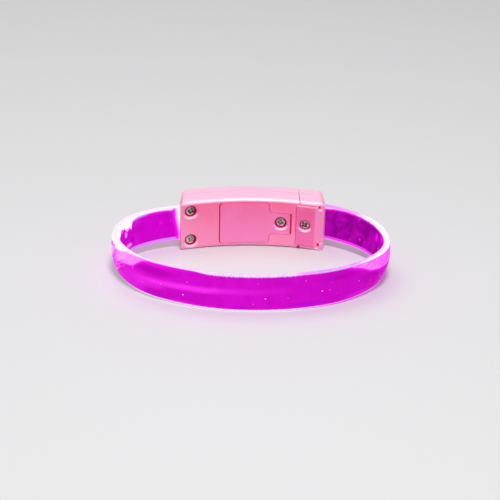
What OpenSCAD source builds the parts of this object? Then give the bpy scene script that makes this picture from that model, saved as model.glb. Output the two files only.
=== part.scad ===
// Glowing wristband: one translucent band whose two ends meet in a small curved case.
// Ring frame, before the band is laid down: Z is the axis of the wrist, the case lies at +Y
// and runs along X. Radii of the case are measured from the axis that its curve turns about.

/* [Band] */
// Width of the band, measured along the wrist
band_width = 10.5; // [9.6:0.1:11.2]
// Thickness of the band
band_thick = 1.85; // [1.6:0.05:2]
// Radius of the band's four long edges
band_edge_r = 0.5; // [0.3:0.05:0.7]
// Distance from the ring's centre to the front of the band
front_depth = 26.4; // [26.2:0.1:26.6]

/* [Case] */
// Length of the case with its cap
case_length = 41.9; // [41.5:0.1:42.5]
// Height of the case, measured along the wrist
case_height = 15.2; // [14.8:0.1:16]
// Thickness of the case from wrist side to outer side
case_thick = 9; // [8.8:0.1:9.6]
// Radius of the curved face on the wrist side
wrist_face_r = 66; // [64:1:68]
// Radius of the case's four long edges
case_edge_r = 1; // [0.8:0.1:1.1]
// Radius of the case's corners, seen from the wrist
case_corner_r = 2; // [1.6:0.1:2.2]
// Thickness of the case walls
wall = 1.2; // [1:0.1:1.2]
// Gap between pieces that meet
gap = 0.12; // [0.1:0.02:0.16]

/* [Battery door] */
// Left edge of the door
door_left = -8.5; // [-9:0.1:-8]
// Right edge of the wide part of the door
door_shoulder = 5.6; // [5.2:0.1:5.8]
// Right edge of the door's screw tab
door_right = 11.6; // [11.4:0.1:11.7]
// Height of the screw tab
tab_height = 6.6; // [6:0.1:7]
// Radius of the door's corners
door_corner_r = 1; // [0.6:0.1:1.2]

/* [Clasp cap] */
// Length of the cap at the right end of the case
cap_length = 7.6; // [7.4:0.1:7.7]
// How far the cap's plate laps over the case
plate_lap = 0.8; // [0.6:0.1:0.9]
// How far the cap's plate stands above the wrist face
plate_rise = 0.2; // [0.1:0.05:0.3]
// Length of the flat bevel at the end of the cap
cap_bevel = 2.8; // [2.4:0.1:3]

/* [Screws] */
// Diameter of the screw heads
head_d = 2.55; // [2.3:0.05:2.7]
// Diameter of the recess round each case and door screw
recess_d = 3.5; // [3.3:0.05:3.6]
// Diameter of the recess round the cap screw
cap_recess_d = 3.1; // [3:0.05:3.3]
// Width of the rounded lip round a recess
lip = 0.45; // [0.3:0.05:0.5]

/* [Hidden] */
$fn = 96;
small_fn = 48;

// Outer line of the band, from the front's middle round each side to its end in the case.
// Columns: radius of the arc, angle that it turns through. The left side is drawn mirrored.
BAND_RIGHT = [[62.5, 18], [29.4, 56], [9.2, 51.7], [34.7, 45]];
BAND_LEFT = [[57, 22], [28.8, 57], [7.9, 55.7], [32, 41.5]];
SIDE_ARC = 2;
// Where two arcs meet, a collar one hundredth of a millimetre proud makes them one solid
collar_length = 0.4;
collar_rise = 0.01;
// The slots in the case start and end at these angles, from the start and end of the last arc
slot_from = 10;
slot_past = 0.5;

// Case: place of its middle, its axis and the surfaces that follow its curve
case_mid = 0.75;
face_mid_y = 14.35;
axis_y = face_mid_y - wrist_face_r;
outer_face_r = wrist_face_r + case_thick;
case_left = case_mid - case_length / 2;
case_right = case_mid + case_length / 2;
half_h = case_height / 2;
// Cutting shapes reach this far past what they cut, or past the whole case
past = 1;
wide = 40;

// The two halves of the case part at this radius, with a small tongue at the middle
part_r = wrist_face_r + 0.6 * case_thick;
tongue_rise = 0.6;
tongue_left = -4.6;
tongue_right = 3.8;
end_chamfer = 0.7;
end_taper = 0.7;
// The ends slope in towards the wrist: columns are length along X and depth from the wrist
LEFT_SLOPE = [0.55, 2.3];
RIGHT_SLOPE = [0.55, 1.45];
// Where a slope ends, the case's end is blunted by this much
end_blunt = 0.05;
// Near its left end the outer face falls a little below its curve
flat_length = 9.5;
flat_drop = 0.55;
floor_thick = 2.1;
clamp_length = 7;

// Cap: seam towards the case, plate and the hidden tongue that plugs into the case
seam_x = case_right - cap_length;
seam_gap = 0.25;
plate_thick = 1.2;
rim_gap = 0.15;
plate_half_h = half_h - case_edge_r - rim_gap;
// Past this place the plate is narrower, and a small slot lies at each of the two steps
plate_step_x = case_right - 1.9;
plate_end_half_h = 5.5;
// Slots at the steps: columns are height of the middle, length along the wrist
PLATE_SLOTS = [[6.3, 1], [-5.7, 1.05]];
plate_slot_width = 0.65;
plate_slot_depth = 1.1;
plug_length = 3;
plug_half_h = 3.2;
plug_thick = 1.8;
plug_set_in = 0.35;
cap_groove = 0.25;
bevel_depth = 0.9;

// Door
door_thick = 1.2;
door_half_h = half_h - case_edge_r - rim_gap;
door_end_gap = 0.5;
door_gap = 0.15;
door_left_gap = 0.35;
door_ledge = 1.2;
boss_r = 2.3;
boss_end_r = wrist_face_r + 1.9;
boss_sink = 0.6;
post_gap = 0.4;

// Screws: columns are place along X and along Z, recess diameter, turn of the cross, end radius
CASE_SCREWS = [
    [-16.9, 4.6, recess_d, 20, part_r + 0.6],
    [-16.9, -4.6, recess_d, 35, part_r + 0.6]];
DOOR_SCREW = [8.9, 0.2, recess_d, 10, part_r - 1];
CAP_SCREW = [15.8, 0.2, cap_recess_d, 50, part_r + 1.2];
head_h = 0.9;
head_dome_r = 2;
head_drop = 0.35;
shank_d = 1.4;
shank_gap = 0.1;
band_hole_gap = 0.25;
// The left end of the band is notched round the wells of the two case screws
notch_r = recess_d / 2 + 0.55;
well_wall = 0.4;
cross_size = [1.5, 0.4, 0.5];
seat_gap = 0.05;
seat_depth = head_drop + head_h + seat_gap;
lip_depth = 0.3;
lip_above = 0.6;
tip_gap = 0.3;
shank_overlap = 0.1;

// Lying down, the band's front edge and the case's lower edge touch the surface below.
// Both edges are round, so the surface is the line tangent to the two circles.
case_touch = [face_y(case_left + case_corner_r, wrist_face_r + case_edge_r), case_edge_r - half_h];
band_touch = [band_edge_r - front_depth, band_edge_r - band_width / 2];
touch_span = case_touch - band_touch;
rest_tilt = asin((band_edge_r - case_edge_r) / -norm(touch_span)) - atan2(touch_span[1], touch_span[0]);
rest_lift = case_edge_r - case_touch[0] * sin(rest_tilt) - case_touch[1] * cos(rest_tilt);

// The ring is set down so that its box is centred on the origin
box_front_y = (band_edge_r - front_depth) * cos(rest_tilt)
    - (band_width / 2 - band_edge_r) * sin(rest_tilt) - band_edge_r;
box_back_y = (face_mid_y + case_thick - case_edge_r) * cos(rest_tilt)
    + (half_h - case_edge_r) * sin(rest_tilt) + case_edge_r;
ring_shift_y = -(box_front_y + box_back_y) / 2;
ring_shift_x = (side_x(BAND_LEFT) - side_x(BAND_RIGHT)) / 2;

// Height along Y of a curved surface of the case at place x
function face_y(x, r) = axis_y + sqrt(r * r - (x - case_mid) * (x - case_mid));
// Turn of the case's curve at place x
function case_angle(x) = asin((x - case_mid) / wrist_face_r);

// Heading, starting point and centre of arc i of one side of the band, and the side's reach
function heading(arcs, i) = i == 0 ? 0 : heading(arcs, i - 1) + arcs[i - 1][1];
function arc_start(arcs, i) = i == 0 ? [0, -front_depth]
    : arc_centre(arcs, i - 1) + arcs[i - 1][0] * [sin(heading(arcs, i)), -cos(heading(arcs, i))];
function arc_centre(arcs, i) =
    arc_start(arcs, i) + arcs[i][0] * [-sin(heading(arcs, i)), cos(heading(arcs, i))];
function side_x(arcs) = arc_centre(arcs, SIDE_ARC)[0] + arcs[SIDE_ARC][0];

// Rectangle with round corners, made of two squares and four circles
module rounded_rect(x0, x1, y0, y1, r) {
    translate([x0 + r, y0]) square([x1 - x0 - 2 * r, y1 - y0]);
    translate([x0, y0 + r]) square([x1 - x0, y1 - y0 - 2 * r]);
    for (x = [x0 + r, x1 - r], y = [y0 + r, y1 - r])
        translate([x, y]) circle(r);
}

// Section of the band on an arc of outer radius r, grown by a clearance
module band_section(r, grow) {
    z = band_width / 2 + grow;
    rounded_rect(r - band_thick - grow, r + grow, -z, z, band_edge_r + grow);
}

// Arc i of one side of the band, between two angles counted from its start
module band_arc(arcs, i, from, to, grow) {
    translate(arc_centre(arcs, i))
        rotate([0, 0, heading(arcs, i) - 90 + from])
            rotate_extrude(angle = to - from)
                band_section(arcs[i][0], grow);
}

// Collar across the start of arc i
module band_collar(arcs, i) {
    translate(arc_centre(arcs, i))
        rotate([0, 0, heading(arcs, i) - 90])
            translate([0, collar_length / 2, 0])
                rotate([90, 0, 0])
                    linear_extrude(collar_length)
                        band_section(arcs[i][0], collar_rise);
}

// One side of the band. Its arcs end a little short of each other, inside the collars.
module band_side(arcs) {
    last = len(arcs) - 1;
    for (i = [0 : last]) {
        trim = collar_length / 4 / arcs[i][0] * 180 / PI;
        band_arc(arcs, i, trim, arcs[i][1] - (i == last ? 0 : trim), 0);
        if (i > 0) band_collar(arcs, i);
    }
}

// Slot for an end of the band
module band_slot(arcs) {
    last = len(arcs) - 1;
    band_arc(arcs, last, slot_from, arcs[last][1] + slot_past, gap);
}

// Stretch of the case's curve between two places along X, from a section beside the axis
module case_sweep(x0, x1) {
    translate([case_mid, axis_y])
        rotate([0, 0, 90 - case_angle(x1)])
            rotate_extrude(angle = case_angle(x1) - case_angle(x0))
                children();
}

module plain_sweep(x0, x1, r0, r1, z) {
    case_sweep(x0, x1) translate([r0, -z]) square([r1 - r0, 2 * z]);
}

// Frame on the wrist face at place x and height z: Z points into the case
module on_wrist_face(x, z) {
    translate([case_mid, axis_y, z])
        rotate([0, 0, -case_angle(x)])
            translate([0, wrist_face_r, 0])
                rotate([-90, 0, 0])
                    children();
}

// Outline of the case seen along the wrist: sloping ends, the right one with a long bevel
module plan_outline() {
    left_y = face_y(case_left, wrist_face_r);
    right_y = face_y(case_right, wrist_face_r) + bevel_depth;
    outer_y = face_y(case_left + end_taper, outer_face_r);
    corner = [case_left + end_taper + end_chamfer, outer_y - flat_drop];
    flat = [case_left + flat_length, face_y(case_left + flat_length, outer_face_r)] - corner;
    reach = 4;
    polygon([
        [case_left, left_y + LEFT_SLOPE[1]],
        [case_left + 3 * LEFT_SLOPE[0], left_y - 2 * LEFT_SLOPE[1]],
        [case_right - cap_bevel - reach, left_y - 2 * LEFT_SLOPE[1]],
        [case_right - cap_bevel - reach, right_y],
        [case_right - RIGHT_SLOPE[0], right_y],
        [case_right, right_y + RIGHT_SLOPE[1]],
        [case_right - end_taper, outer_y - end_chamfer],
        [case_right - end_taper - end_chamfer - reach, outer_y + reach],
        corner + 2 * flat,
        corner,
        [case_left + end_taper, corner[1] - end_chamfer]]);
}

// Solid body of the case between two radii, with its round edges and corners
module envelope(r0, r1, inner_r = wrist_face_r) {
    intersection() {
        plain_sweep(case_left - past, case_right + past, r0, r1, wide);
        case_sweep(case_left - past, case_right + past)
            rounded_rect(inner_r, outer_face_r, -half_h, half_h, case_edge_r);
        translate([0, 0, -wide / 2]) linear_extrude(wide) plan_outline();
        towards_case()
            rounded_rect(case_left + end_blunt, case_right - end_blunt, -half_h, half_h, case_corner_r);
    }
}

// Prism over an outline that is drawn as the wrist sees it
module towards_case() {
    translate([0, wide, 0]) rotate([90, 0, 0]) linear_extrude(wide) children();
}

// All that lies to the left or right of place x
module left_of(x) {
    translate([x - 2 * wide, -wide, -wide]) cube(2 * wide);
}

module right_of(x) {
    translate([x, -wide, -wide]) cube(2 * wide);
}

// Recess of a screw: a bore with a sloping lip, turned as one profile
module screw_recess(s, rise = 0) {
    r = s[2] / 2;
    on_wrist_face(s[0], s[1])
        translate([0, 0, -rise])
            rotate_extrude()
                polygon([
                    [0, -lip_above],
                    [r + lip * (1 + lip_above / lip_depth), -lip_above],
                    [r, lip_depth],
                    [r, seat_depth],
                    [0, seat_depth]]);
}

module screw_hole(s, clearance, r_end) {
    on_wrist_face(s[0], s[1])
        translate([0, 0, -past])
            cylinder(d = shank_d + 2 * clearance, h = r_end - wrist_face_r + past, $fn = small_fn);
}

// Round post about a case screw
module well(s, r) {
    on_wrist_face(s[0], s[1])
        cylinder(r = r, h = case_thick - wall, $fn = small_fn);
}

module screw(s, rise = 0) {
    on_wrist_face(s[0], s[1]) {
        difference() {
            intersection() {
                translate([0, 0, head_drop - rise]) cylinder(d = head_d, h = head_h);
                translate([0, 0, head_drop - rise + head_dome_r]) sphere(r = head_dome_r);
            }
            for (a = [s[3], s[3] + 90])
                rotate([0, 0, a])
                    translate([-cross_size[0] / 2, -cross_size[1] / 2, head_drop - rise - past])
                        cube(cross_size + [0, 0, past]);
        }
        translate([0, 0, head_drop - rise + head_h - shank_overlap])
            cylinder(d = shank_d, h = s[4] - wrist_face_r - head_drop - head_h + rise, $fn = small_fn);
    }
}

// Outline of the door seen from the wrist, grown by a clearance on each side
module door_outline(grow, left_grow, end_grow) {
    z = door_half_h + grow;
    t = tab_height / 2 + grow;
    fillet = door_corner_r;
    overlap = 2;
    rounded_rect(door_left - left_grow, door_shoulder + grow, -z, z, door_corner_r);
    translate([door_shoulder - overlap, -t])
        square([door_right + end_grow - door_shoulder + overlap, 2 * t]);
    for (side = [-1, 1])
        difference() {
            translate([door_shoulder + grow, side > 0 ? t : -t - fillet]) square(fillet);
            translate([door_shoulder + grow + fillet, side * (t + fillet)]) circle(fillet, $fn = small_fn);
        }
}

// Door or its recess: the outline cut out of a curved sheet
module door_sheet(grow, left_grow, end_grow, r0, r1) {
    intersection() {
        towards_case() door_outline(grow, left_grow, end_grow);
        plain_sweep(door_left - past, door_right + past, r0, r1, half_h + past);
    }
}

// Opening under the door that the cells go in through; the door lies on a ledge round it
module cell_opening() {
    z = door_half_h - door_ledge;
    towards_case() rounded_rect(door_left + door_ledge, door_shoulder - door_ledge, -z, z, door_corner_r);
}

// Place of the cap's plate between the rims, narrower past its step, grown by a clearance
module plate_space(grow) {
    start_x = seam_x - plate_lap - grow;
    intersection() {
        union() {
            translate([start_x, 0, -plate_half_h - grow])
                cube([plate_step_x + grow - start_x, wide, 2 * (plate_half_h + grow)]);
            translate([start_x, 0, -plate_end_half_h - grow])
                cube([wide, wide, 2 * (plate_end_half_h + grow)]);
        }
        plain_sweep(seam_x - 2 * past, case_right + past, wrist_face_r - past,
            wrist_face_r + plate_thick + grow, wide);
    }
}

module plate_slots() {
    for (slot = PLATE_SLOTS)
        translate([plate_step_x - plate_slot_width / 2, 0, slot[0] - slot[1] / 2])
            cube([plate_slot_width, face_y(plate_step_x, wrist_face_r) + plate_slot_depth, slot[1]]);
}

module boss(s, grow) {
    on_wrist_face(s[0], s[1])
        translate([0, 0, boss_sink])
            cylinder(r = boss_r + grow, h = boss_end_r - wrist_face_r - boss_sink + grow);
}

module plug(grow) {
    z = plug_half_h + grow;
    r0 = part_r + plug_set_in - grow;
    plain_sweep(seam_x - plug_length - grow, seam_x + past, r0, r0 + plug_thick + 2 * grow, z);
}

// Hollow of the case for the cells and the light, round the post of the door screw
module hollow(r0, r1) {
    difference() {
        plain_sweep(case_left + clamp_length, seam_x - wall, r0, r1, half_h - wall);
        on_wrist_face(DOOR_SCREW[0], DOOR_SCREW[1])
            cylinder(r = boss_r + wall, h = part_r - wrist_face_r - post_gap);
    }
}

module band() {
    color([0.84, 0.03, 0.8])
        difference() {
            union() {
                band_side(BAND_RIGHT);
                mirror([1, 0, 0]) band_side(BAND_LEFT);
                band_collar(BAND_RIGHT, 0);
            }
            screw_hole(CAP_SCREW, band_hole_gap, outer_face_r);
            for (s = CASE_SCREWS)
                well(s, notch_r);
        }
}

module outer_shell() {
    color([1, 0.74, 0.87])
        difference() {
            envelope(part_r + gap / 2, outer_face_r + past);
            right_of(seam_x);
            hollow(part_r - past, outer_face_r - wall);
            plain_sweep(tongue_left - gap, tongue_right + gap, part_r - past,
                part_r + tongue_rise + gap / 2, wide);
            plug(gap);
            for (s = CASE_SCREWS)
                screw_hole(s, shank_gap, s[4] + tip_gap);
        }
}

module inner_shell() {
    color([0.98, 0.47, 0.65])
        difference() {
            union() {
                envelope(wrist_face_r - past, part_r - gap / 2);
                intersection() {
                    envelope(part_r - past, part_r + tongue_rise - gap / 2);
                    plain_sweep(tongue_left, tongue_right, part_r - past, part_r + 2 * past, wide);
                }
            }
            right_of(seam_x);
            hollow(wrist_face_r + floor_thick, part_r + 2 * past);
            difference() {
                mirror([1, 0, 0]) band_slot(BAND_LEFT);
                for (s = CASE_SCREWS)
                    well(s, recess_d / 2 + well_wall);
            }
            door_sheet(door_gap, door_left_gap, door_end_gap, wrist_face_r - past,
                wrist_face_r + door_thick + gap);
            intersection() {
                cell_opening();
                plain_sweep(door_left - past, door_right, wrist_face_r, part_r - past, half_h);
            }
            boss(DOOR_SCREW, gap);
            boss(CAP_SCREW, gap);
            screw_hole(DOOR_SCREW, shank_gap, DOOR_SCREW[4] + tip_gap);
            plate_space(gap);
            for (s = CASE_SCREWS) {
                screw_recess(s);
                screw_hole(s, shank_gap, outer_face_r);
            }
        }
}

module battery_door() {
    color([0.95, 0.44, 0.66])
        difference() {
            union() {
                door_sheet(0, 0, 0, wrist_face_r, wrist_face_r + door_thick);
                boss(DOOR_SCREW, 0);
            }
            screw_recess(DOOR_SCREW);
            screw_hole(DOOR_SCREW, shank_gap, part_r);
        }
}

module cap_shell() {
    color([1, 0.7, 0.85])
        difference() {
            union() {
                difference() {
                    envelope(wrist_face_r - past, outer_face_r + past);
                    left_of(seam_x + seam_gap);
                }
                plug(0);
            }
            plate_space(gap);
            plate_slots();
            boss(CAP_SCREW, gap);
            band_slot(BAND_RIGHT);
            screw_hole(CAP_SCREW, shank_gap, CAP_SCREW[4] + tip_gap);
            for (side = [-1, 1])
                translate([0, 0, side * (half_h + wide / 2 - cap_groove)])
                    plain_sweep(seam_x - past, case_right + past, part_r - gap / 2, part_r + gap / 2, wide / 2);
        }
}

module cap_plate() {
    color([0.96, 0.45, 0.67])
        difference() {
            union() {
                intersection() {
                    envelope(wrist_face_r - 2 * past, wrist_face_r + plate_thick + past,
                        wrist_face_r - plate_rise);
                    plate_space(0);
                }
                boss(CAP_SCREW, 0);
            }
            screw_recess(CAP_SCREW, plate_rise);
            screw_hole(CAP_SCREW, shank_gap, part_r);
            plate_slots();
        }
}

module case_screw_upper() {
    color([0.75, 0.74, 0.7]) screw(CASE_SCREWS[0]);
}

module case_screw_lower() {
    color([0.75, 0.74, 0.7]) screw(CASE_SCREWS[1]);
}

module door_screw() {
    color([0.75, 0.74, 0.7]) screw(DOOR_SCREW);
}

module cap_screw() {
    color([0.75, 0.74, 0.7]) screw(CAP_SCREW, plate_rise);
}

// Laid on a surface, as the ring rests by itself
module at_rest() {
    translate([ring_shift_x, ring_shift_y, rest_lift]) rotate([rest_tilt, 0, 0]) children();
}

at_rest() band();
at_rest() outer_shell();
at_rest() inner_shell();
at_rest() battery_door();
at_rest() cap_shell();
at_rest() cap_plate();
at_rest() case_screw_upper();
at_rest() case_screw_lower();
at_rest() door_screw();
at_rest() cap_screw();
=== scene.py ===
"""Led wristband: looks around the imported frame.

Shapes are written in the ring frame, in millimetres: Z is the axis of the wrist, the case lies at
+Y and runs along X. to_row() lays the ring down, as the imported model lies, in metres.
"""
import math

import bmesh
import bpy
from mathutils import Matrix, Vector


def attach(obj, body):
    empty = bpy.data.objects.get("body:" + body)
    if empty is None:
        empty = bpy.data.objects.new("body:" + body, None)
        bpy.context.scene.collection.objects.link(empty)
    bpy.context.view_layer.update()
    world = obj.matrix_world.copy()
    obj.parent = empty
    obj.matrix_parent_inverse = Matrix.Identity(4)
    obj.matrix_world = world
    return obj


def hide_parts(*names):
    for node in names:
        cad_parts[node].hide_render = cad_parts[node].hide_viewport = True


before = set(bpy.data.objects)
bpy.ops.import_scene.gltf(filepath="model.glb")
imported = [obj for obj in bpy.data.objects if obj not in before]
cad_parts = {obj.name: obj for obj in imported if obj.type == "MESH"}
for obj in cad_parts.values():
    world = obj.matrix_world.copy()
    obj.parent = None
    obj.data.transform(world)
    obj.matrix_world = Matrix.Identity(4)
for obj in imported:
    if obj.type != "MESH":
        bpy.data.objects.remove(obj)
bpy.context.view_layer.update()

MM = 0.001

# Rest pose of the ring: turn about X, then shift
REST_TILT = math.radians(3.493)
REST_SHIFT = (0.067, 1.4653, 6.8192)

# Band: width, how far it sits up, thickness, radius of its edges, and how far its front lies from
# the ring's middle
BAND_WIDTH = 10.75
BAND_RAISE = 0.1
BAND_THICK = 1.85
BAND_EDGE = 0.7
FRONT_DEPTH = 26.4
# Its outer line from the front's middle round each side: radius and angle of each arc
BAND_RIGHT = [(64.1, 18.0), (32.35, 30.0), (17.1, 92.1), (36.4, 28.2)]
BAND_LEFT = [(55.7, 27.0), (25.7, 41.7), (14.1, 76.9), (32.5, 25.2)]
# Its mesh: length of a step along the band, then steps up a face, across an edge and round a corner
BAND_STEP = 0.4
FACE_STEPS, EDGE_STEPS, CORNER_STEPS = 22, 4, 6
# Where the band bends most it leans outwards, in mm per mm of height, and its outer face bulges,
# in mm. The share of both rises from the first of these lengths to the second, then falls again
FLEX_REACH = (10.0, 50.0, 80.0)
LEAN_LEFT, LEAN_RIGHT = 0.07, 0.096
BULGE_LEFT, BULGE_RIGHT = 0.9, 1.2
BULGE_LEVEL = 0.4

# Case: its middle, the radius of its wrist face and the place of the axis that it curves about
CASE_MID = 0.75
WRIST_R = 66.0
AXIS_Y = 14.35 - WRIST_R

# Camera, in the ring frame: elevation, roll, turn of the ring, then shift across, shift up and
# distance in mm, focal length and picture in pixels, sensor in mm and near limit in metres
CAM_ELEVATION = math.radians(29)
CAM_ROLL = math.radians(-1.488)
CAM_TURN = math.radians(2.186)
CAM_OFFSET = (0.25, 0.902, 419.29)
CAM_FOCAL_PX = 1495.7
IMAGE_PX = 500
SENSOR_MM = 36.0
CAM_CLIP = 0.01

# Floor and room light: half the floor's side in metres, its colours, grain and roughness
FLOOR_HALF = 3.0
FLOOR_DARK, FLOOR_LIGHT = (0.66, 0.655, 0.66), (0.68, 0.675, 0.68)
FLOOR_GRAIN, FLOOR_ROUGH = 900.0, 0.7
ROOM_COLOUR, ROOM_STRENGTH = (0.92, 0.93, 0.95, 1), 0.35
# Lamps, which face the middle of the floor: name, place and width in metres, power in watts
LAMPS = [("overhead", (-0.15, 0.2, 0.8), 0.8, 2.6), ("key", (0.03, -0.26, 0.64), 0.2, 3.0)]

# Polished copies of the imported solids: weld distance in metres, angles in degrees, edges in mm
WELD = 1e-6
FLAT_ANGLE = 0.6
SHARP_ANGLE = 32
EDGE_BREAK, HEAD_BREAK = 0.12, 0.05
BREAK_SEGMENTS = 3
FLAT_WEIGHT = 100

# Surface of the band under its glow: colour, gloss, share of light, height of the relief in metres
BAND_BASE = (0.05, 0.001, 0.05)
BAND_SPECULAR = 0.005
BAND_GLOW = 0.97
BAND_RELIEF = 0.00008
# Colours of the glow, as the shader takes them
BODY = (0.69, 0.0035, 0.63)
BODY_SHADE = (0.58, 0.002, 0.53)
BODY_DEEP = (0.48, 0.001, 0.44)
STREAK = (0.98, 0.03, 0.92)
PALE = (0.99, 0.26, 0.95)
PALE_RIGHT = (0.99, 0.12, 0.95)
PALE_SCRATCH = (1.0, 0.36, 0.96)
SCRATCH_LOW = (1.0, 0.05, 0.96)
PINK_PALE = (1.0, 0.62, 0.96)
PINK_LIGHT = (1.0, 0.13, 0.98)
PINK_DEEP = (0.92, 0.04, 0.86)
PINK_STRIPE = (0.98, 0.1, 0.9)
PINK_SOFT = (0.69, 0.2, 0.8)
BRIGHT = (1.0, 0.004, 0.95)
WHITE = (1.0, 0.97, 1.0)
VIOLET_DEEP = (0.36, 0.004, 0.66)
VIOLET_LIGHT = (0.5, 0.3, 1.0)
VIOLET_PALE = (0.62, 0.42, 1.0)
VIOLET_LOW = (0.62, 0.26, 1.0)
VIOLET_TORN = (0.5, 0.014, 0.95)
INNER_LEFT = (0.63, 0.001, 0.59)
INNER_RIGHT = (0.45, 0.001, 0.43)
INNER_DARK = (0.24, 0.0005, 0.24)
SPOT = (1.0, 0.006, 0.4)

# How the light shows along the band: (length from the front's middle in mm, then a height, a width
# or a share)
STREAK_HEIGHT = [(-60, 0.4), (-36, 0.3), (-28, 0.15), (-20, 0.2), (-15, 0.3), (-8, 0.55), (0, 0.7),
                 (24, 1.0)]
STREAK_GLOW = [(-60, 0.0), (-40, 0.0), (-33, 0.25), (-25, 0.9), (-15, 1.0), (-8, 0.5), (2, 0.2),
               (14, 0.0)]
PALE_OUTER = [(-84, 4.9), (-64, 4.6), (-57, 2.5), (-51, -3.2), (-46, -3.4), (-43.5, -1.6), (-41.5, 0.2),
              (-39.5, 1.2), (-37, 1.75), (-35.5, 2.1), (-34, 3.1), (-32.5, 4.2), (-30.5, 5.1), (-22, 5.6),
              (20, 6.2), (24, 5.7), (28, 4.7), (31, 3.7), (32.5, 2.95), (34, 2.1), (36, 1.6), (39, 1.0),
              (42, 0.8), (45, 1.0), (48, 1.7), (51, 2.4), (56, 3.4), (62, 4.6), (84, 4.9)]
WHITE_OUTER = [(-84, 5.2), (-62, 4.8), (-55, 4.0), (-51, 3.7), (-46, 3.7), (-42, 4.0), (-39.5, 4.5),
               (-37.5, 5.0), (-33, 5.3), (-26, 5.7), (37, 5.7), (41, 5.5), (44, 4.7), (46.5, 4.3),
               (49, 4.1), (53, 4.1), (60, 4.9), (84, 5.3)]
WHITE_INNER = [(-84, 4.5), (-76, 4.6), (-70, 4.9), (-66, 4.85), (-61.3, 4.05), (-60.8, 3.8), (-60.5, 1.9),
               (-58.8, 2.3), (-57.3, 2.4), (-56, 3.1), (-54.2, 3.0), (-52.5, 1.6), (-50, 1.4), (-46, 1.6),
               (-40, 3.8), (-33, 5.0), (33, 5.0), (40, 4.5), (46, 4.2), (51, 4.15), (55, 4.2),
               (59.5, 4.5), (64, 4.85), (69, 5.1), (73, 5.0), (76, 4.7), (84, 4.5)]
RAGGED = [(-84, 0.3), (-62, 0.5), (-58, 2.6), (-48, 3.4), (-42, 2.4), (-38, 0.9), (-33, 0.3), (33, 0.3),
          (50, 0.6), (84, 0.5)]
STROKES = [(-84, 0.0), (-60, 0.2), (-54, 0.4), (-46, 0.4), (-40, 0.35), (-34, 0.15), (24, 0.1), (32, 0.3),
           (42, 0.15), (50, 0.1), (84, 0.0)]
LINE_HEIGHT = [(20, 5.6), (25, 5.45), (31, 5.3), (36, 5.1), (40, 4.95), (44, 4.75), (47, 4.55), (52, 4.3)]
LINE_HALF = [(20, 0.02), (25, 0.12), (31, 0.22), (36, 0.28), (40, 0.36), (44, 0.5), (47, 0.5), (52, 0.4)]
RIM_START = [(-84, -0.6), (-48, -0.6), (-40, 0.1), (-33, 0.45), (-20, 0.6), (-14, 0.3), (-7, -0.15),
             (0, -0.2), (9, -0.1), (14, 0.15), (20, 0.1), (28, 0.1), (34, 0.25), (40, 0.1), (46, -0.5),
             (84, -0.5)]
RIM_PINK = [(-84, 0.0), (-40, 0.0), (-20, 0.15), (10, 0.1), (14, 0.7), (24, 0.4), (36, 0.1),
            (58, 0.0), (66, 0.6), (84, 0.95)]
RIM_VIOLET = [(-84, 0.2), (-60, 0.15), (-38, 0.2), (-28, 0.6), (-14, 0.45), (0, 0.45), (8, 0.5),
              (13, 0.25), (16, 0.3), (19, 0.95), (26, 0.9), (33, 0.4), (40, 0.0), (84, 0.0)]
LOW_PINK = [(-84, 0.9), (-56, 0.85), (-48, 0.1), (0, 0.0), (14, 0.3), (26, 0.8), (84, 0.9)]
# Soft patches on the outer face: (place), (reach along, reach up), share
SHADOWS = [((-28, 3.2), (9.0, 1.5), 0.9), ((21, 3.4), (7.0, 2.0), 0.4), ((24.5, 3.0), (6.0, 1.0), 0.8),
           ((36, 0.2), (8.0, 3.0), 0.8), ((-18, -2.0), (14.0, 2.6), 0.35), ((-26, -3.6), (6.0, 1.4), 0.4)]
LIGHTS = [((-35.5, -1.8), (6.5, 4.2), 0.34), ((-29.5, -0.9), (6.5, 2.0), 0.4),
          ((-41, -3.2), (3.6, 1.6), 0.3), ((43, -3.4), (7.0, 1.8), 0.35), ((30, -4.0), (6.0, 1.0), 0.25),
          ((-20, -4.7), (7.0, 0.7), 0.5)]
TINTS = [((-3.6, -4.2), (3.4, 0.7), 0.6), ((15.0, -3.7), (6.5, 1.0), 0.45)]
TORN_TINTS = [((-46.4, -0.3), (1.3, 1.0), 1.0), ((-45.4, -1.4), (0.9, 1.1), 1.0)]
# Small round marks on the outer face: (place), size
SPECKS = [((-19.1, -2.1), 0.22), ((3.2, -1.35), 0.2), ((18.7, -0.3), 0.2), ((-31.4, -1.4), 0.14),
          ((-27.7, 0.0), 0.11), ((-25.5, -0.15), 0.18), ((-18.0, 2.0), 0.11), ((-34.9, 1.7), 0.16),
          ((0.0, -3.0), 0.1), ((1.2, 3.3), 0.08), ((14.0, 3.4), 0.12), ((9.3, -1.4), 0.08),
          ((30.0, 0.2), 0.13), ((39.6, -2.2), 0.15), ((20.8, -0.3), 0.1)]
# The same two kinds of marks on the inner face
INNER_SPOTS = [((63.6, -2.1), 0.6), ((53.5, -1.0), 0.6)]
INNER_LIGHTS = [((55.8, 1.7), (1.1, 1.7), 0.9), ((51.6, 3.0), (2.4, 1.4), 0.9),
                ((64.5, 3.9), (0.7, 0.7), 0.6), ((69.5, 2.4), (1.6, 1.0), 0.25),
                ((-71, 1.15), (0.7, 0.8), 0.6), ((-70.9, 4.2), (0.7, 0.5), 0.5)]
INNER_SHADOWS = [((-63.2, 1.2), (3.0, 1.6), 0.22), ((-60.4, -1.8), (1.4, 1.6), 0.45),
                 ((-57, -0.4), (2.4, 0.7), 0.5), ((-73.4, 2.8), (2.2, 1.6), 0.2),
                 ((-73.2, 0.2), (1.8, 1.0), 0.15)]
INNER_PALES = [((-58.8, -2.9), (1.9, 0.8), 0.9), ((-57.5, 0.9), (1.0, 1.3), 0.8),
               ((-55.0, 2.9), (1.8, 0.8), 0.6)]
INNER_FRINGE = ((-63.5, 4.6), (4.0, 1.3))

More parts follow.
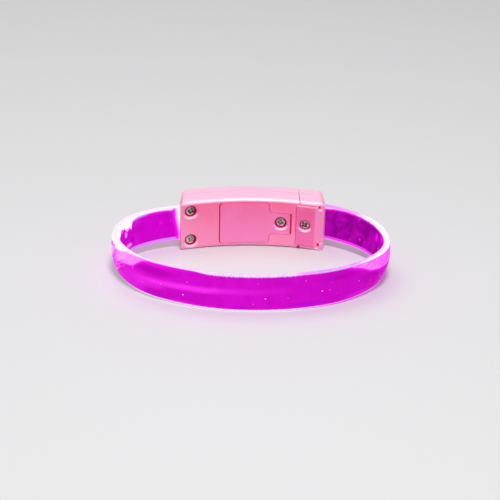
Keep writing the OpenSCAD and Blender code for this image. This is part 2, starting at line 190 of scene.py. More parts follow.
# Colours of the case: top and low colour of each piece, then those that lie over them
SHELL_TOP, SHELL_LOW = (0.94, 0.123, 0.31), (0.94, 0.26, 0.45)
DOOR_TOP, DOOR_LOW = (0.91, 0.116, 0.35), (0.91, 0.21, 0.486)
PLATE_TOP, PLATE_LOW = (0.84, 0.065, 0.275), (0.885, 0.122, 0.39)
CASE_LIT = (0.9, 0.42, 0.6)
# Painted light on the long sides
PAINTED_SIDE_LIGHT = (0.92, 0.455, 0.625)
# Warm tone of the wrist face's upper part; colour of the left end and of the painted shadow under the
# plate
CASE_WARM = (1.0, 0.11, 0.25)
CASE_END = (0.6, 0.06, 0.14)
# Painted shade in the hollows, and deeper painted shade on the far side of the screw recesses and in the
# notch
HOLLOW_SHADE_COLOUR = (0.5, 0.002, 0.06)
DEEP_SHADE_COLOUR = (0.11, 0.0, 0.014)
# Painted highlights on the upper edge, the lips, the bevel and the tip
EDGE_LIT = (0.97, 0.62, 0.78)
LIP_LIT = (1.0, 0.76, 0.88)
BEVEL_LIT = (0.94, 0.26, 0.5)
END_LIT = (1.0, 0.55, 0.42)
# Glow of the case, what its hollows add to it, its clear coat and the light on the plate's lip
GLOW, INSIDE_GLOW = 0.15, 0.25
COAT, COAT_ROUGH, COAT_IOR = 0.8, 0.2, 1.6
PLATE_LIP = 0.7
# Colours of the screws: dull to bright steel, wear, light on the low side, painted shade in the cross
# and darker about its arms, painted highlight in the middle of the cross
STEEL_DULL = (0.52, 0.66, 0.44)
STEEL_BRIGHT = (1.0, 1.0, 0.8)
STEEL_WORN = (0.3, 0.34, 0.2)
STEEL_GLINT = (1.0, 1.0, 0.92)
STEEL_CROSS_SHADE = (0.035, 0.035, 0.012)
STEEL_CENTRE_HIGHLIGHT = (1.0, 0.88, 0.84)
# How metallic the bare steel is
STEEL_METAL = 0.35
# Height of the relief on the case and the screws, in metres
FINE_RELIEF = 0.00003

# Where the looks of the case change, from none to full: its left end, the painted light on the bevel
# and on the tip at the right along X, then its warm upper part, the painted highlight on its upper edge
# and the painted light on its long sides up Z
LEFT_LIGHT_X, LEFT_END_X = (-15, -20.5), (-19.7, -20.1)
BEVEL_X, TIP_X = (18.3, 19.0), (20.9, 21.4)
WARM_Z, UPPER_EDGE_Z, PAINTED_LIGHT_SIDE_Z = (4.2, 6.4), (6.65, 7.1), (6.9, 7.35)
# Upper lip of the wrist face, and the range of Z over which the top colour passes to the low one
UPPER_LIP_Z, COLOUR_Z = (6.1, 6.5), (6.5, -6.5)
# Slots of the cap's plate: their range along X, then that of each up Z, and how soft their sides are
SLOT_X, SLOT_HIGH, SLOT_LOW = (19.47, 20.13), (5.8, 6.8), (-6.23, -5.17)
SLOT_SOFT = 0.02
# Lips beside the slots that catch the light: places along X and Z, and how far each reaches
SLOT_LIPS = [(20.2, 5.5), (20.5, -5.4), (19.4, -6.9)]
SLOT_LIP_REACH = (0.75, 0.5)
# Painted shade of the notch at the lower end of the cap's seam, and the painted shadow under the lower
# edge of the plate
NOTCH_SHADE_PLACE, NOTCH_SHADE_REACH = (14.3, -7.2), (0.5, 0.9)
PLATE_SHADOW_X, PLATE_SHADOW_Z = (14.0, 19.2), (-6.55, -6.25)
# Depths below the wrist face between which the painted shade of the hollows fades out
HOLLOW_END = (3.2, 2.6)

# Screws: name, place along X and Z, radius of the recess, height of the piece about it above the
# wrist face, turn of the cross in degrees, share of the darkening about the arms of its cross
SCREWS = [("case_screw_upper", -16.9, 4.6, 1.75, 0.0, 20, 0.95),
          ("case_screw_lower", -16.9, -4.6, 1.75, 0.0, 35, 0.4),
          ("door_screw", 8.9, 0.2, 1.75, 0.0, 10, 0.75),
          ("cap_screw", 15.8, 0.2, 1.55, 0.2, 50, 0.9)]
# How far each head lies below the piece about it
HEAD_DROP = 0.35

REST = Matrix.Rotation(REST_TILT, 3, "X")


def to_row(p):
    """A point of the ring frame, in millimetres, as a point of the row frame, in metres."""
    return (REST @ Vector(p) + Vector(REST_SHIFT)) * MM


def new_piece(name, verts, faces, material):
    """A smooth mesh whose points are given in the ring frame."""
    mesh = bpy.data.meshes.new(name)
    mesh.from_pydata([to_row(v) for v in verts], [], faces)
    mesh.validate()
    mesh.polygons.foreach_set("use_smooth", [True] * len(mesh.polygons))
    obj = bpy.data.objects.new(name, mesh)
    bpy.context.scene.collection.objects.link(obj)
    obj.data.materials.append(material)
    return obj


class Net:
    """Nodes of one material, built from short calls."""

    def __init__(self, name):
        self.material = bpy.data.materials.new(name)
        self.material.use_nodes = True
        self.tree = self.material.node_tree
        self.tree.nodes.clear()

    def put(self, socket, value):
        if isinstance(value, bpy.types.NodeSocket):
            self.tree.links.new(value, socket)
        elif value is not None:
            if socket.type == "RGBA" and len(value) == 3:
                value = (*value, 1.0)
            socket.default_value = value

    def node(self, kind, inputs=(), **settings):
        n = self.tree.nodes.new(kind)
        for key, value in settings.items():
            setattr(n, key, value)
        for key, value in dict(inputs).items():
            self.put(n.inputs[key], value)
        return n

    def math(self, op, a, b=None):
        n = self.node("ShaderNodeMath", {0: a, 1: b}, operation=op)
        return n.outputs[0]

    def add(self, a, b):
        return self.math("ADD", a, b)

    def sub(self, a, b):
        return self.math("SUBTRACT", a, b)

    def mul(self, a, b):
        return self.math("MULTIPLY", a, b)

    def div(self, a, b):
        return self.math("DIVIDE", a, b)

    def centred(self, value):
        """A noise about nought instead of a half."""
        return self.add(value, -0.5)

    def step(self, value, start, end, low=0.0, high=1.0):
        """Smooth step from low at start to high at end."""
        n = self.node("ShaderNodeMapRange", {"Value": value, "From Min": start, "From Max": end,
                      "To Min": low, "To Max": high}, interpolation_type="SMOOTHSTEP")
        return n.outputs["Result"]

    def between(self, value, a, b, soft):
        """One between a and b, nought outside, with soft edges."""
        return self.mul(self.step(value, a - soft, a + soft), self.step(value, b + soft, b - soft))

    def mix(self, factor, a, b):
        """Colour between a and b: the node's sockets 6 and 7 take colours, and its output 2 gives one."""
        n = self.node("ShaderNodeMix", data_type="RGBA")
        self.put(n.inputs[0], factor)
        self.put(n.inputs[6], a)
        self.put(n.inputs[7], b)
        return n.outputs[2]

    def noise(self, vector, scale, detail=3.0, rough=0.55, distortion=0.0):
        n = self.node("ShaderNodeTexNoise", {"Vector": vector, "Scale": scale, "Detail": detail,
                      "Roughness": rough, "Distortion": distortion})
        return n.outputs["Fac"]

    def stretch(self, vector, x, y, z):
        n = self.node("ShaderNodeVectorMath", {0: vector, 1: (x, y, z)}, operation="MULTIPLY")
        return n.outputs[0]

    def join(self, x, y, z):
        n = self.node("ShaderNodeCombineXYZ", {"X": x, "Y": y, "Z": z})
        return n.outputs["Vector"]

    def bell(self, value, reach):
        """One where value is nought, falling softly to nought at plus or minus reach."""
        return self.step(self.math("ABSOLUTE", value), reach, 0.0)

    def patch(self, along, height, place, reach):
        """Soft oval patch: one at its middle, nought at its rim."""
        da = self.div(self.add(along, -place[0]), reach[0])
        dh = self.div(self.add(height, -place[1]), reach[1])
        return self.step(self.add(self.mul(da, da), self.mul(dh, dh)), 1.0, 0.0)

    def spot(self, along, height, place, size):
        """A small round mark at (along, height)."""
        da = self.sub(along, place[0])
        dh = self.sub(height, place[1])
        square = self.add(self.mul(da, da), self.mul(dh, dh))
        return self.step(square, size * size, 0.1 * size * size)

    def curve(self, value, points):
        """Smooth curve through given points (value, result)."""
        low, high = min(p[1] for p in points), max(p[1] for p in points)
        first, last = points[0][0], points[-1][0]
        share = self.node("ShaderNodeMapRange", {"Value": value, "From Min": first, "From Max": last})
        n = self.node("ShaderNodeFloatCurve", {"Value": share.outputs["Result"]})
        line = n.mapping.curves[0]
        for x, y in points[1:-1]:
            line.points.new((x - first) / (last - first), (y - low) / (high - low))
        line.points[0].location = (0.0, (points[0][1] - low) / (high - low))
        line.points[-1].location = (1.0, (points[-1][1] - low) / (high - low))
        for p in line.points:
            p.handle_type = "AUTO_CLAMPED"
        n.mapping.update()
        result = self.node("ShaderNodeMapRange", {"Value": n.outputs[0], "To Min": low, "To Max": high})
        return result.outputs["Result"]

    def split(self, vector):
        n = self.node("ShaderNodeSeparateXYZ", {0: vector})
        return n.outputs[0], n.outputs[1], n.outputs[2]

    def attribute(self, name):
        return self.node("ShaderNodeAttribute", attribute_name=name).outputs["Vector"]

    def ring_point(self):
        """Place on the piece in the ring frame, in millimetres."""
        coordinates = self.node("ShaderNodeTexCoord").outputs["Object"]
        back = REST.transposed() @ Vector(REST_SHIFT)
        n = self.node("ShaderNodeMapping", {"Vector": coordinates, "Location": tuple(-back),
                      "Rotation": (-REST_TILT, 0.0, 0.0), "Scale": (1 / MM,) * 3})
        return n.outputs[0]

    def depth(self, point):
        """Depth below the curved wrist face of the case, in mm."""
        x, y, _ = self.split(point)
        dx = self.add(x, -CASE_MID)
        dy = self.add(y, -AXIS_Y)
        return self.add(self.math("SQRT", self.add(self.mul(dx, dx), self.mul(dy, dy))), -WRIST_R)

    def bump(self, height, distance, strength):
        n = self.node("ShaderNodeBump", {"Height": height, "Distance": distance, "Strength": strength})
        return n.outputs[0]

    def finish(self, **inputs):
        """The material, from the inputs of its shader, with _ for each space in their names."""
        shader = self.node("ShaderNodeBsdfPrincipled")
        for key, value in inputs.items():
            self.put(shader.inputs[key.replace("_", " ")], value)
        out = self.node("ShaderNodeOutputMaterial")
        self.tree.links.new(shader.outputs[0], out.inputs[0])
        return self.material


class BandPlace:
    """Place on the band, and the noises that several parts of its look share."""

    def __init__(self, net):
        self.along, self.height, self.inward = net.split(net.attribute("band_place"))
        self.point = net.ring_point()
        self.left = net.step(self.along, -20, -40)
        self.coarse = net.noise(self.point, 0.55, 4.0, 0.65)
        self.cloud = net.noise(net.stretch(self.point, 1.0, 1.0, 0.5), 0.22, 3.0, 0.6, 0.8)
        self.fine = net.noise(self.point, 2.6, 3.0, 0.6)
        slant = net.mul(net.sub(self.along, net.mul(self.height, 1.2)), 0.7)
        slant = net.join(slant, net.mul(self.height, 0.3), self.inward)
        self.strokes = net.step(net.noise(slant, 0.8, 3.0, 0.6, 0.6), 0.4, 0.6)
        self.ragged = net.mul(net.centred(self.coarse), net.curve(self.along, RAGGED))


def lay_patches(net, at, patches, colour, tint):
    """Lays soft patches of a tint over a colour."""
    for place, reach, share in patches:
        colour = net.mix(net.mul(net.patch(at.along, at.height, place, reach), share), colour, tint)
    return colour


def outer_body(net, at):
    """Outer face: even magenta, darker towards the right, with one soft streak of light."""
    shade = net.step(net.add(at.along, net.mul(at.cloud, 30)), 0, 62)
    colour = net.mix(shade, BODY, BODY_SHADE)
    colour = net.mix(net.mul(net.step(at.cloud, 0.35, 0.7), 0.35), colour, BODY_DEEP)
    colour = lay_patches(net, at, SHADOWS, colour, BODY_DEEP)
    streak = net.sub(at.height, net.curve(at.along, STREAK_HEIGHT))
    streak = net.bell(net.add(streak, net.mul(net.centred(at.cloud), 0.6)), 1.5)
    colour = net.mix(net.mul(streak, net.curve(at.along, STREAK_GLOW)), colour, STREAK)
    colour = lay_patches(net, at, LIGHTS, colour, STREAK)
    colour = lay_patches(net, at, TINTS, colour, VIOLET_DEEP)
    far_right = net.mul(net.step(at.along, 26, 38), net.step(at.coarse, 0.5, 0.7))
    return net.mix(net.mul(far_right, 0.3), colour, STREAK)


def inner_body(net, at):
    """Inner face: even at the left, dark and mottled at the right."""
    veins = net.noise(net.stretch(at.point, 1.0, 1.0, 0.7), 0.36, 3.0, 0.6, 0.6)
    mottled = net.mix(net.step(veins, 0.34, 0.64), INNER_DARK, INNER_RIGHT)
    mottled = net.mix(net.mul(net.step(at.coarse, 0.55, 0.75), 0.6), mottled, INNER_LEFT)
    colour = net.mix(net.step(at.along, 30, 52), INNER_LEFT, mottled)
    lit = net.mul(net.step(at.cloud, 0.5, 0.75), net.mul(at.left, 0.2))
    colour = net.mix(lit, colour, STREAK)
    colour = lay_patches(net, at, INNER_SHADOWS, colour, INNER_DARK)
    dim = net.mul(net.step(at.coarse, 0.5, 0.3), net.mul(at.left, 0.3))
    colour = net.mix(dim, colour, INNER_RIGHT)
    colour = lay_patches(net, at, INNER_LIGHTS, colour, BRIGHT)
    for place, size in INNER_SPOTS:
        colour = net.mix(net.spot(at.along, at.height, place, size), colour, SPOT)
    colour = lay_patches(net, at, INNER_PALES, colour, PALE)
    low_colour = net.mix(net.step(at.along, -30, 30), VIOLET_LOW, PINK_DEEP)
    return net.mix(net.step(at.height, -3.98, -4.24), colour, low_colour)


def leaked_light(net, at):
    """Colour of the light that leaks out of the outer face where the band bends."""
    dip = net.mul(net.step(at.along, -42, -48), 0.8)
    sunk = net.mul(at.left, net.step(net.sub(at.height, dip), 2.6, -1.6))
    colour = net.mix(at.left, PALE_RIGHT, PALE)
    colour = net.mix(sunk, colour, STREAK)
    gaps = net.mul(net.mul(net.step(at.coarse, 0.52, 0.36), sunk), 0.9)
    colour = net.mix(gaps, colour, BODY)
    below = net.mul(at.left, net.step(at.height, 1.6, -0.2))
    scratched = net.mix(net.mul(below, 0.8), PALE_SCRATCH, SCRATCH_LOW)
    scratched = net.mix(net.mul(at.strokes, 0.8), STREAK, scratched)
    in_scratches = net.step(net.sub(at.along, net.mul(at.coarse, 4)), -43, -48)
    in_scratches = net.mul(in_scratches, net.step(at.along, -62, -56))
    colour = net.mix(in_scratches, colour, scratched)
    far = net.step(net.add(at.along, net.mul(at.coarse, 4)), 40, 47)
    colour = net.mix(net.mul(far, 0.9), colour, STREAK)
    bright_strokes = net.mul(at.strokes, net.curve(at.along, STROKES))
    bright_strokes = net.mul(bright_strokes, net.sub(1.0, net.mul(below, 0.55)))
    colour = net.mix(bright_strokes, colour, PINK_PALE)
    return net.mix(net.mul(net.step(at.fine, 0.45, 0.65), 0.3), colour, PALE)


def outer_face(net, at):
    """Outer face with its leaked light: pale above one ragged line, white above the next."""
    pale_rise = net.add(net.sub(at.height, net.curve(at.along, PALE_OUTER)), at.ragged)
    white_rise = net.add(net.sub(at.height, net.curve(at.along, WHITE_OUTER)), at.ragged)
    torn = net.mul(net.step(at.along, -37, -42), net.step(at.along, -60, -54))
    tear = net.add(pale_rise, net.mul(net.add(at.strokes, -0.45), net.mul(torn, 3.4)))
    smooth_share = net.mul(net.step(pale_rise, -0.15, 0.35), net.sub(1.0, torn))
    torn_share = net.mul(net.step(tear, -2.0, 1.4), torn)
    edge_glow = net.mul(net.step(pale_rise, -1.0, -0.15), 0.75)
    colour = net.mix(edge_glow, outer_body(net, at), BRIGHT)
    colour = net.mix(net.add(smooth_share, torn_share), colour, leaked_light(net, at))
    colour = lay_patches(net, at, TORN_TINTS, colour, VIOLET_TORN)
    low_fringe = net.between(at.height, -4.75, -4.45, 0.2)
    low_fringe = net.mul(low_fringe, net.step(at.coarse, 0.3, 0.6, 0.25, 0.8))
    colour = net.mix(low_fringe, colour, BRIGHT)
    off_line = net.math("ABSOLUTE", net.sub(at.height, net.curve(at.along, LINE_HEIGHT)))
    line = net.step(net.div(off_line, net.curve(at.along, LINE_HALF)), 1.3, 0.6)
    colour = net.mix(line, colour, WHITE)
    return net.mix(net.step(white_rise, -0.2, 0.5), colour, WHITE)


def inner_face(net, at):
    """Inner face with white light above its torn line, violet in one place."""
    jag = net.mul(net.centred(net.noise(at.point, 0.9, 3.0, 0.6)), net.mul(at.left, 3.6))
    torn_edge = net.mul(net.add(at.ragged, jag), net.step(at.along, -61.2, -60.8))
    rise = net.add(net.sub(at.height, net.curve(at.along, WHITE_INNER)), torn_edge)
    colour = net.mix(net.step(rise, -0.85, -0.1), inner_body(net, at), BRIGHT)
    fringe = net.mul(net.patch(at.along, at.height, *INNER_FRINGE), net.step(rise, -0.8, -0.1))
    colour = net.mix(fringe, colour, VIOLET_LIGHT)
    return net.mix(net.step(rise, -0.2, 0.25), colour, WHITE)


def lay_source(net, at, colour):
    """Lays the light that enters at the left end of the case."""
    source = net.sub(at.along, net.mul(net.step(at.height, -4, 4), 1.1))
    colour = net.mix(net.step(source, -75.0, -76.4), colour, BRIGHT)
    colour = net.mix(net.step(source, -76.2, -77.35), colour, PINK_PALE)
    return net.mix(net.step(source, -76.9, -77.7), colour, WHITE)


def lay_long_edges(net, at, colour):
    """Lays the light on the long edges, as lines of white, pink and pale violet."""
    sparkle = net.noise(at.point, 1.4, 4.0, 0.75)
    rim = net.mix(net.curve(at.along, RIM_PINK), WHITE, PINK_LIGHT)
    lavender = net.mul(net.step(sparkle, 0.36, 0.56), net.curve(at.along, RIM_VIOLET))
    rim = net.mix(lavender, rim, VIOLET_PALE)
    in_front = net.mul(net.step(at.along, -17, -14), net.step(at.along, 16, 13))
    soft = net.mul(net.mul(net.step(at.inward, 0.35, 0.1), in_front), 0.7)
    rim = net.mix(soft, rim, PINK_SOFT)
    deep = net.mul(net.mul(net.step(at.inward, 0.75, 0.35), net.step(at.along, 58, 66)), 0.85)
    rim = net.mix(deep, rim, PINK_DEEP)
    edge = net.sub(at.inward, net.curve(at.along, RIM_START))
    edge = net.add(edge, net.mul(net.centred(sparkle), 0.35))
    tooth = net.noise(net.join(net.mul(at.along, 2.2), net.mul(at.height, 0.5), 0), 0.8, 2.0, 0.6)
    toothed = net.add(at.height, net.mul(net.mul(net.centred(tooth), 0.9), in_front))
    top = net.mul(net.step(toothed, 4.96, 5.16), net.step(edge, -0.08, 0.12))
    colour = net.mix(top, colour, rim)
    stripe = net.add(net.bell(net.add(at.inward, -0.95), 0.38), net.step(at.inward, 1.5, 1.75))
    striped = net.mul(net.step(at.along, 22, 30), net.step(at.along, 47, 42))
    on_top = net.mul(net.step(at.height, 5.0, 5.2), striped)
    colour = net.mix(net.mul(net.mul(on_top, stripe), 0.75), colour, PINK_STRIPE)
    low = net.step(net.add(at.height, net.mul(net.centred(sparkle), 0.2)), -4.72, -4.98)
    return net.mix(low, colour, net.mix(net.curve(at.along, LOW_PINK), WHITE, PINK_LIGHT))


def lay_glowing_specks(net, at, colour):
    """Lays small bright specks of glow, where dust and small bubbles catch the band's light."""
    on_outer = net.step(at.inward, 0.5, 0.1)
    for place, size in SPECKS:
        speck = net.mul(net.spot(at.along, at.height, place, size), on_outer)
        colour = net.mix(speck, colour, PINK_PALE)
    cells = net.node("ShaderNodeTexVoronoi", {"Vector": at.point, "Scale": 0.42, "Randomness": 1.0})
    speck_glow = net.mul(net.step(cells.outputs["Distance"], 0.055, 0.03), 0.3)
    return net.mix(speck_glow, colour, PALE)


def glow_band():
    """Translucent plastic lit from within: its light is laid on as emission over a dark base."""
    net = Net("glow_band")
    at = BandPlace(net)
    colour = net.mix(net.step(at.inward, 0.9, 1.3), outer_face(net, at), inner_face(net, at))
    colour = lay_source(net, at, colour)
    colour = lay_long_edges(net, at, colour)
    colour = lay_glowing_specks(net, at, colour)
    rough = net.step(at.coarse, 0.3, 0.75, 0.16, 0.3)
    waves = net.noise(at.point, 0.35, 2.0, 0.5)
    relief = net.add(net.mul(waves, 0.8), net.mul(at.fine, 0.05))
    return net.finish(Base_Color=BAND_BASE, Roughness=rough, Specular_IOR_Level=BAND_SPECULAR,
                      Emission_Color=colour, Emission_Strength=BAND_GLOW,
                      Normal=net.bump(relief, BAND_RELIEF, 0.6))


def hollow_shade_share(net, x, z, depth):
    """One in the recesses, seams and slots of the case, where their shade is painted; nought on its outer
    faces.
    """
    rise = net.math("ABSOLUTE", z)
    fades = net.step(depth, *HOLLOW_END)
    below = net.add(depth, net.step(x, 18.0, 19.0, 0.0, -0.75))
    hollow_shade = net.mul(net.step(below, 0.25, 0.8), net.step(rise, 7.0, 6.7))
    hollow_shade = net.mul(hollow_shade, net.mul(net.step(x, -19.6, -19.2), net.step(x, 21.1, 20.8)))
    in_slots = net.add(net.between(z, *SLOT_HIGH, SLOT_SOFT), net.between(z, *SLOT_LOW, SLOT_SOFT))
    in_slots = net.mul(in_slots, net.between(x, *SLOT_X, SLOT_SOFT))
    return net.math("MAXIMUM", net.mul(hollow_shade, fades), net.mul(in_slots, fades))


def light_recesses(net, x, z, on_face, colour):
    """Lays light on the low lip of each screw recess, and gives the shade on its far side."""
    shade = 0.0
    for _, place_x, place_z, radius, *_ in SCREWS:
        dx, dz = net.add(x, -place_x), net.add(z, -place_z)
        away = net.math("SQRT", net.add(net.mul(dx, dx), net.mul(dz, dz)))
        ring = net.mul(net.between(away, radius + 0.05, radius + 0.6, 0.12), on_face)
        low_side = net.step(net.div(dz, away), -0.2, -0.85)
        colour = net.mix(net.mul(net.mul(ring, low_side), 0.9), colour, LIP_LIT)
        in_recess = net.step(away, radius + 0.4, radius + 0.1)
        far_side = net.mul(net.step(net.div(dx, away), 0.35, 0.85), in_recess)
        shade = net.math("MAXIMUM", shade, far_side)
    return colour, shade


def case_pink(name, top, low, lip=0.0):
    """Satin plastic, lit from within: its top and low colour, and the light on its upper lip."""
    net = Net(name)
    point = net.ring_point()
    x, _, z = net.split(point)
    rise = net.math("ABSOLUTE", z)
    depth = net.depth(point)
    on_face = net.step(depth, 0.5, 0.2)
    grain = net.noise(point, 3.2, 3.0, 0.7)
    cloud = net.noise(point, 0.16, 3.0, 0.5)

    # Broad colours of the wrist face and its left end, and the painted light on the long sides
    colour = net.mix(net.step(z, *COLOUR_Z), top, low)
    colour = net.mix(net.mul(net.step(z, *WARM_Z), 0.6), colour, CASE_WARM)
    colour = net.mix(net.mul(net.step(cloud, 0.35, 0.7), 0.35), colour, low)
    colour = net.mix(net.mul(net.step(x, *LEFT_LIGHT_X), 0.25), colour, CASE_LIT)
    colour = net.mix(net.mul(net.step(x, *LEFT_END_X), 0.7), colour, CASE_END)
    colour = net.mix(net.step(rise, *PAINTED_LIGHT_SIDE_Z), colour, PAINTED_SIDE_LIGHT)
    colour = net.mix(net.mul(net.step(grain, 0.35, 0.7), 0.12), colour, CASE_LIT)

    # Light on the bevel at the right, the upper edge and the lips
    bevel = net.mul(net.step(rise, 7.3, 6.8), net.step(depth, 1.6, 1.2))
    bevel = net.mul(net.step(x, *BEVEL_X), bevel)
    colour = net.mix(net.mul(bevel, 0.9), colour, BEVEL_LIT)
    upper_edge = net.mul(net.step(z, *UPPER_EDGE_Z), net.step(depth, 1.7, 0.5))
    colour = net.mix(net.mul(upper_edge, 0.7), colour, EDGE_LIT)
    colour, shade = light_recesses(net, x, z, on_face, colour)
    upper_lip = net.mul(net.between(z, *UPPER_LIP_Z, 0.12), on_face)
    colour = net.mix(net.mul(upper_lip, lip), colour, EDGE_LIT)
    for place in SLOT_LIPS:
        colour = net.mix(net.mul(net.patch(x, z, place, SLOT_LIP_REACH), 0.9), colour, LIP_LIT)
    colour = net.mix(net.mul(net.step(x, *TIP_X), 0.45), colour, END_LIT)

    # Painted shade: under the plate, in the notch and in the hollows
    under_plate = net.mul(net.between(z, *PLATE_SHADOW_Z, 0.1), net.between(x, *PLATE_SHADOW_X, 0.3))
    colour = net.mix(net.mul(net.mul(under_plate, on_face), 0.6), colour, CASE_END)
    colour = net.mix(net.patch(x, z, NOTCH_SHADE_PLACE, NOTCH_SHADE_REACH), colour, DEEP_SHADE_COLOUR)
    hollow_shade = hollow_shade_share(net, x, z, depth)
    colour = net.mix(hollow_shade, colour, HOLLOW_SHADE_COLOUR)
    colour = net.mix(net.mul(net.mul(hollow_shade, shade), 0.8), colour, DEEP_SHADE_COLOUR)

    rough = net.step(grain, 0.3, 0.7, 0.34, 0.42)
    coat = net.mul(net.sub(1.0, hollow_shade), COAT)
    glow = net.add(net.mul(hollow_shade, INSIDE_GLOW), GLOW)
    relief = net.add(net.mul(grain, 0.35), net.mul(cloud, 1.5))
    return net.finish(Base_Color=colour, Roughness=rough, Coat_Weight=coat, Coat_Roughness=COAT_ROUGH,
                      Coat_IOR=COAT_IOR, Emission_Color=colour, Emission_Strength=glow,
                      Normal=net.bump(relief, FINE_RELIEF, 0.5))


def screw_steel(name, x, z, rise, turn, arm_darkening):
    """Worn steel of a head at (x, z), rise mm higher, with painted shade in its turned cross, darker
    about its arms.
    """
    net = Net(name)
    point = net.ring_point()
    px, _, pz = net.split(point)
    dx = net.add(px, -x)
    dz = net.add(pz, -z)
    spread = net.add(net.mul(dx, dx), net.mul(dz, dz))
    dome = net.mul(spread, 0.25)
    cosine, sine = math.cos(math.radians(turn)), math.sin(math.radians(turn))
    u = net.math("ABSOLUTE", net.sub(net.mul(dx, cosine), net.mul(dz, sine)))
    v = net.math("ABSOLUTE", net.add(net.mul(dx, sine), net.mul(dz, cosine)))
    arms = net.math("MAXIMUM", net.mul(net.step(u, 1.0, 0.78), net.step(v, 0.5, 0.3)),
                    net.mul(net.step(v, 1.0, 0.78), net.step(u, 0.5, 0.3)))
    below = net.add(net.depth(point), rise - HEAD_DROP)
    cross = net.step(net.sub(below, dome), 0.06, 0.22)
    fine = net.noise(point, 5.0, 4.0, 0.6)
    broad = net.noise(point, 1.1, 2.0, 0.5)
    colour = net.mix(net.step(fine, 0.35, 0.65), STEEL_DULL, STEEL_BRIGHT)
    colour = net.mix(net.mul(net.step(broad, 0.45, 0.62), 0.55), colour, STEEL_WORN)
    glint = net.step(dz, -0.5, -0.85)
    # Painted shade in the recess of the cross, darker still about its arms
    shade_in_cross = net.math("MAXIMUM", net.mul(cross, 0.8), net.mul(arms, arm_darkening))
    # Painted highlight in the middle of the cross
    centre_highlight = net.step(spread, 0.12, 0.04)
    colour = net.mix(glint, colour, STEEL_GLINT)
    colour = net.mix(shade_in_cross, colour, STEEL_CROSS_SHADE)
    colour = net.mix(centre_highlight, colour, STEEL_CENTRE_HIGHLIGHT)
    plain = net.math("MAXIMUM", net.math("MAXIMUM", glint, shade_in_cross), centre_highlight)
    metal = net.step(plain, 0.0, 1.0, STEEL_METAL, 0.0)
    rough = net.math("MAXIMUM", net.step(fine, 0.3, 0.7, 0.26, 0.4), net.mul(shade_in_cross, 0.8))
    relief = net.add(fine, net.mul(broad, 2.0))
    return net.finish(Base_Color=colour, Metallic=metal, Roughness=rough,
                      Normal=net.bump(relief, FINE_RELIEF, 0.6))


def floor_material():
    """Plain pale ground with a faint grain."""
    net = Net("floor")
    coordinates = net.node("ShaderNodeTexCoord").outputs["Object"]
    fine = net.noise(coordinates, FLOOR_GRAIN, 3.0, 0.6)
    return net.finish(Base_Color=net.mix(fine, FLOOR_DARK, FLOOR_LIGHT), Roughness=FLOOR_ROUGH)


def arc_line(arcs):
    """Points of one side: (x, y, outward direction, length from the front's middle)."""
    x, y, turned, run = 0.0, -FRONT_DEPTH, 0.0, 0.0
    points = []
    for radius, sweep in arcs:
        sweep = math.radians(sweep)
        cx, cy = x - radius * math.sin(turned), y + radius * math.cos(turned)
        count = max(2, round(radius * sweep / BAND_STEP))
        for i in range(count):
            part = sweep * i / count
            a = turned + part
            points.append((cx + radius * math.sin(a), cy - radius * math.cos(a), a, run + radius * part))
        turned += sweep
        run += radius * sweep
        x, y = cx + radius * math.sin(turned), cy - radius * math.cos(turned)
    points.append((x, y, turned, run))
    return points


def band_section():
    """Outline of the band's section as (inward, height), starting at the outer face."""
    half, edge = BAND_WIDTH / 2, BAND_EDGE
    corners = [(edge, half - edge), (BAND_THICK - edge, half - edge),
               (BAND_THICK - edge, edge - half), (edge, edge - half)]
    points = []
    for k, (u, v) in enumerate(corners):
        for i in range(CORNER_STEPS + 1):
            a = math.radians(180 - 90 * k - 90 * i / CORNER_STEPS)
            points.append((u + edge * math.cos(a), v + edge * math.sin(a)))
        u1, v1 = points[-1]
        u2, v2 = corners[(k + 1) % 4]
        a = math.radians(180 - 90 * (k + 1))
        u2, v2 = u2 + edge * math.cos(a), v2 + edge * math.sin(a)
        count = FACE_STEPS if abs(v2 - v1) > BAND_THICK else EDGE_STEPS
        points += [(u1 + (u2 - u1) * i / count, v1 + (v2 - v1) * i / count) for i in range(1, count)]
    return points


def flex(along):
    """Share of the lean and bulge at a length from the front's middle."""
    start, peak, end = FLEX_REACH
    length = abs(along)
    share = (length - start) / (peak - start) if length < peak else (end - length) / (end - peak)
    share = min(1.0, max(0.0, share))
    return share * share * (3 - 2 * share)


def build_band(material):
    """The band from slot to slot, with its place in band_place as (length, height, inward)."""
    right = arc_line(BAND_RIGHT)
    left = [(-x, y, -a, -s) for x, y, a, s in arc_line(BAND_LEFT)]
    line = left[:0:-1] + right
    section = band_section()
    verts, faces, places = [], [], []
    for x, y, a, s in line:
        out = (math.sin(a), -math.cos(a))
        lean = flex(s) * (LEAN_LEFT if s < 0 else LEAN_RIGHT)
        bulge = flex(s) * (BULGE_LEFT if s < 0 else BULGE_RIGHT)
        for u, v in section:
            level = (2 * v / BAND_WIDTH) ** 2 - BULGE_LEVEL
            inset = u - lean * v + bulge * level * (1 - u / BAND_THICK)
            verts.append((x - out[0] * inset, y - out[1] * inset, v + BAND_RAISE))
            places.append((s, v, u))
    n = len(section)
    for i in range(len(line) - 1):
        for j in range(n):
            k = (j + 1) % n
            faces.append((i * n + j, (i + 1) * n + j, (i + 1) * n + k, i * n + k))
    faces.append(tuple(range(n)))
    faces.append(tuple(len(verts) - 1 - j for j in range(n)))
    obj = new_piece("glow_band", verts, faces, material)
    attribute = obj.data.attributes.new("band_place", "FLOAT_VECTOR", "POINT")
    attribute.data.foreach_set("vector", [c for p in places for c in p])
    return obj


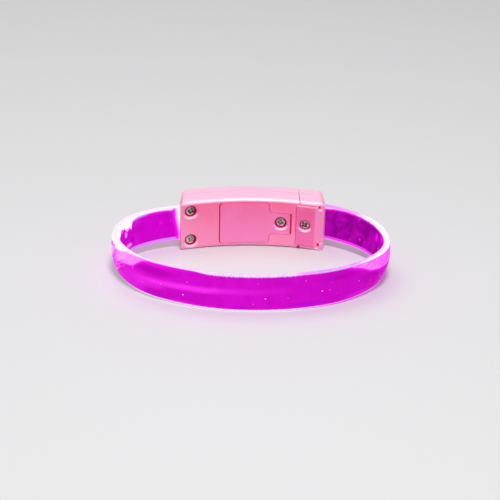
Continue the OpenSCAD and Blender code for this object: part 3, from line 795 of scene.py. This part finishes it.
def polish(name, material, edge_break):
    """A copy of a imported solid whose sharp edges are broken, as on a moulded piece."""
    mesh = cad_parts[name].data.copy()
    mesh.name = name + "_soft"
    shape = bmesh.new()
    shape.from_mesh(mesh)
    bmesh.ops.remove_doubles(shape, verts=shape.verts, dist=WELD)
    flat = math.radians(FLAT_ANGLE)
    bmesh.ops.dissolve_limit(shape, angle_limit=flat, verts=shape.verts, edges=shape.edges)
    for face in shape.faces:
        face.smooth = True
    shape.to_mesh(mesh)
    shape.free()
    mesh.materials.clear()
    mesh.materials.append(material)
    obj = bpy.data.objects.new(name + "_soft", mesh)
    bpy.context.scene.collection.objects.link(obj)
    bevel = obj.modifiers.new("broken_edges", "BEVEL")
    bevel.width = edge_break * MM
    bevel.segments = BREAK_SEGMENTS
    bevel.limit_method = "ANGLE"
    bevel.angle_limit = math.radians(SHARP_ANGLE)
    bevel.use_clamp_overlap = True
    bevel.harden_normals = False
    weighted = obj.modifiers.new("even_shading", "WEIGHTED_NORMAL")
    weighted.keep_sharp = False
    weighted.weight = FLAT_WEIGHT
    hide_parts(name)
    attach(obj, "root")


def set_stage():
    """Pale floor, soft room light and a plain view of the colours."""
    mesh = bpy.data.meshes.new("floor")
    corners = [(x * FLOOR_HALF, y * FLOOR_HALF, 0) for x, y in ((-1, -1), (1, -1), (1, 1), (-1, 1))]
    mesh.from_pydata(corners, [], [(0, 1, 2, 3)])
    floor = bpy.data.objects.new("floor", mesh)
    bpy.context.scene.collection.objects.link(floor)
    floor.data.materials.append(floor_material())
    world = bpy.data.worlds.new("soft")
    world.use_nodes = True
    background = world.node_tree.nodes["Background"]
    background.inputs[0].default_value = ROOM_COLOUR
    background.inputs[1].default_value = ROOM_STRENGTH
    scene = bpy.context.scene
    scene.world = world
    scene.view_settings.view_transform = "Standard"
    scene.view_settings.look = "None"


def add_light(name, place, size, power):
    """A round lamp that faces the middle of the floor."""
    data = bpy.data.lights.new(name, "AREA")
    data.shape = "DISK"
    data.size = size
    data.energy = power
    light = bpy.data.objects.new(name, data)
    bpy.context.scene.collection.objects.link(light)
    light.location = place
    light.rotation_euler = (-Vector(place)).to_track_quat("-Z", "Y").to_euler()


def set_camera():
    """Camera fitted to the photograph in the ring frame, then laid down with the ring."""
    turn = Matrix.Rotation(CAM_TURN, 3, "Z")
    s, c = math.sin(CAM_ELEVATION), math.cos(CAM_ELEVATION)
    look = Matrix(((1, 0, 0), (0, s, c), (0, c, -s)))
    roll = Matrix.Rotation(CAM_ROLL, 3, "Z")
    axes = roll @ look @ turn
    place = -(axes.transposed() @ Vector(CAM_OFFSET))
    rows = axes @ REST.transposed()
    right, up, ahead = rows[0], rows[1], rows[2]
    data = bpy.data.cameras.new("camera")
    data.sensor_width = SENSOR_MM
    data.lens = CAM_FOCAL_PX / IMAGE_PX * SENSOR_MM
    data.clip_start = CAM_CLIP
    camera = bpy.data.objects.new("camera", data)
    bpy.context.scene.collection.objects.link(camera)
    turned = Matrix((right, up, -ahead)).transposed().to_4x4()
    turned.translation = to_row(place)
    camera.matrix_world = turned
    bpy.context.scene.camera = camera


set_stage()
set_camera()
for name, place, size, power in LAMPS:
    add_light(name, place, size, power)

band = build_band(glow_band())
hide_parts("band")
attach(band, "root")

shell_pink = case_pink("shell_pink", SHELL_TOP, SHELL_LOW)
door_pink = case_pink("door_pink", DOOR_TOP, DOOR_LOW)
plate_pink = case_pink("plate_pink", PLATE_TOP, PLATE_LOW, PLATE_LIP)
for name, paint in (("outer_shell", shell_pink), ("inner_shell", shell_pink),
                    ("battery_door", door_pink), ("cap_shell", shell_pink),
                    ("cap_plate", plate_pink)):
    polish(name, paint, EDGE_BREAK)
for name, x, z, _, rise, turn, arm_darkening in SCREWS:
    steel = screw_steel(name + "_steel", x, z, rise, turn, arm_darkening)
    polish(name, steel, HEAD_BREAK)
